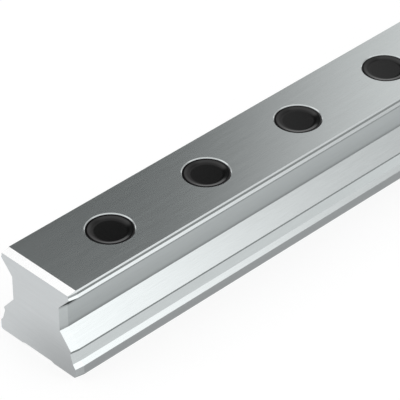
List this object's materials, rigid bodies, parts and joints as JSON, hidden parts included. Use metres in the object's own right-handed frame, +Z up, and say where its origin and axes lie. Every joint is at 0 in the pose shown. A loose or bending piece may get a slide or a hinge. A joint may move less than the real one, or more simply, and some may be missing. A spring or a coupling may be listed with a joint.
{
  "type": "linear guide rail",
  "caption": "Ground steel guide rail with raceway grooves along both sides, bevelled ends and a row of counterbored screw holes closed by black plastic plugs.",
  "frame": {"origin": "middle of the rail's length and width, on the plane it rests on", "axes": "+X along the rail, +Y across it, +Z up from the base to the face with the plugs"},
  "size_m": [0.3, 0.034, 0.0308],
  "materials": {
    "ground_steel": "ground",
    "black_plastic": "moulded"
  },
  "bodies": {
    "root": {"rail": "ground_steel", "hole_plug_1": "black_plastic", "hole_plug_2": "black_plastic", "hole_plug_3": "black_plastic", "hole_plug_4": "black_plastic", "hole_plug_5": "black_plastic", "hole_plug_6": "black_plastic", "hole_plug_7": "black_plastic"}
  },
  "joints": []
}
